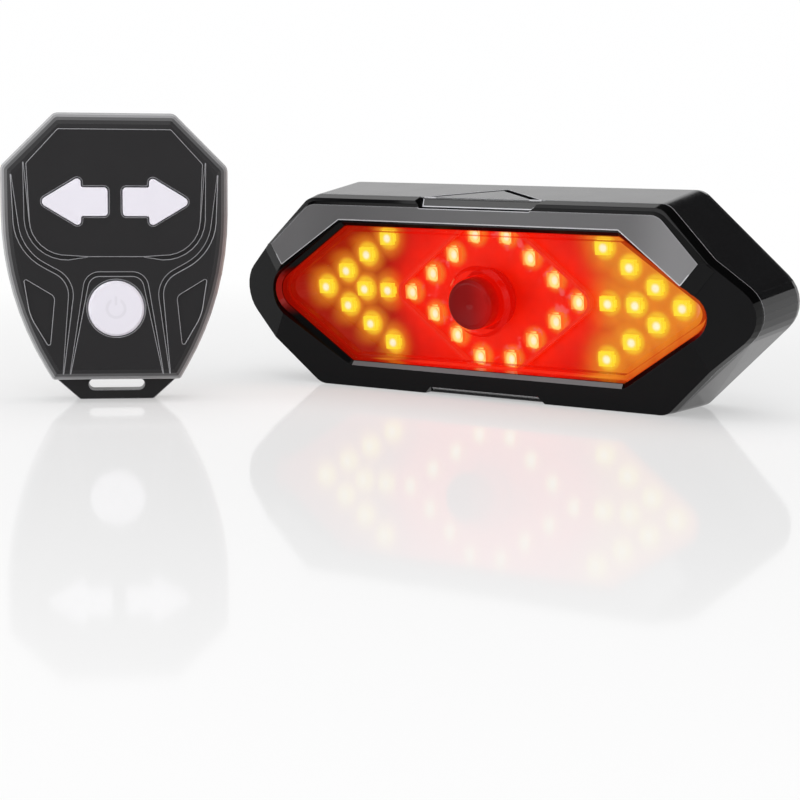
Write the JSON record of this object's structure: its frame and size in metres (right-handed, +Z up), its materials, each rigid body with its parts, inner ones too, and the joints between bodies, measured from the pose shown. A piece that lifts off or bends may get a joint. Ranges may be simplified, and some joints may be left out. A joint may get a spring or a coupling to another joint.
{
  "type": "bicycle turn signal light",
  "caption": "Hexagonal rear bicycle lamp with arrow indicators, ringed stop lamps and a push button, with a strap-on wireless remote with arrow keys.",
  "frame": {"origin": "centre of the light's flat underside, on the floor", "axes": "+X to the right as seen by someone who looks at the lens, +Y from the lens towards the back, +Z up"},
  "size_m": [0.1355, 0.0894, 0.0554],
  "materials": {
    "black_gloss": "gloss",
    "black_satin": "satin",
    "red_lens": "clear tinted",
    "button_red": "gloss, tinted",
    "reflector_white": "semi-gloss",
    "board_white": "solder mask",
    "board_green": "solder mask",
    "amber_lamp": "lit",
    "red_lamp": "lit",
    "chip_black": "moulded",
    "steel": "bright",
    "gold_contact": "plated",
    "rubber": "matt",
    "foam": "matt",
    "cell_wrap": "foil",
    "key_white": "satin",
    "key_mat": "silicone"
  },
  "bodies": {
    "signal_set": {"front_bezel": "black_gloss", "lens": "red_lens", "lens_seal": "rubber", "button_switch": "chip_black", "reflector": "reflector_white", "led_board": "board_white", "amber_leds_left": "amber_lamp", "amber_leds_right": "amber_lamp", "red_leds": "red_lamp", "control_chip": "chip_black", "radio_module": "board_green", "battery_cell": "cell_wrap", "battery_pad": "foam", "charge_board": "board_green", "charge_socket": "steel", "flap_anchor": "rubber", "housing_seal": "rubber", "rear_housing": "black_satin", "housing_screws": "steel", "bracket_rail": "black_satin", "remote_front_shell": "black_satin", "remote_rear_shell": "black_satin", "remote_seal": "rubber", "key_mat": "key_mat", "remote_board": "board_green", "key_domes": "steel", "remote_chip": "chip_black", "coin_cell": "steel", "cell_holder": "chip_black", "cell_contacts": "gold_contact", "remote_screws": "steel"},
    "power_button": {"power_button": "button_red", "switch_plunger": "chip_black"},
    "port_flap": {"port_flap": "rubber"},
    "left_arrow_key": {"left_arrow_key": "key_white"},
    "right_arrow_key": {"right_arrow_key": "key_white"},
    "round_key": {"round_key": "key_white"}
  },
  "joints": [
    {"name": "power_button_press", "type": "slide", "parent": "signal_set", "child": "power_button", "axis": [0, 0.993, 0.1184], "range_m": [0, 0.0006], "stiffness_N_per_m": 900},
    {"name": "left_arrow_press", "type": "slide", "parent": "signal_set", "child": "left_arrow_key", "axis": [-0.6769, 0.7361, 0], "range_m": [0, 0.0008], "stiffness_N_per_m": 700},
    {"name": "right_arrow_press", "type": "slide", "parent": "signal_set", "child": "right_arrow_key", "axis": [-0.6769, 0.7361, 0], "range_m": [0, 0.0008], "stiffness_N_per_m": 700},
    {"name": "round_key_press", "type": "slide", "parent": "signal_set", "child": "round_key", "axis": [-0.6769, 0.7361, 0], "range_m": [0, 0.0008], "stiffness_N_per_m": 700},
    {"name": "port_flap_hinge", "type": "hinge", "parent": "signal_set", "child": "port_flap", "pos_m": [0.0403, 0.00945, 0.02211], "axis": [0, 0.1184, -0.993], "range_deg": [0, 110]}
  ]
}
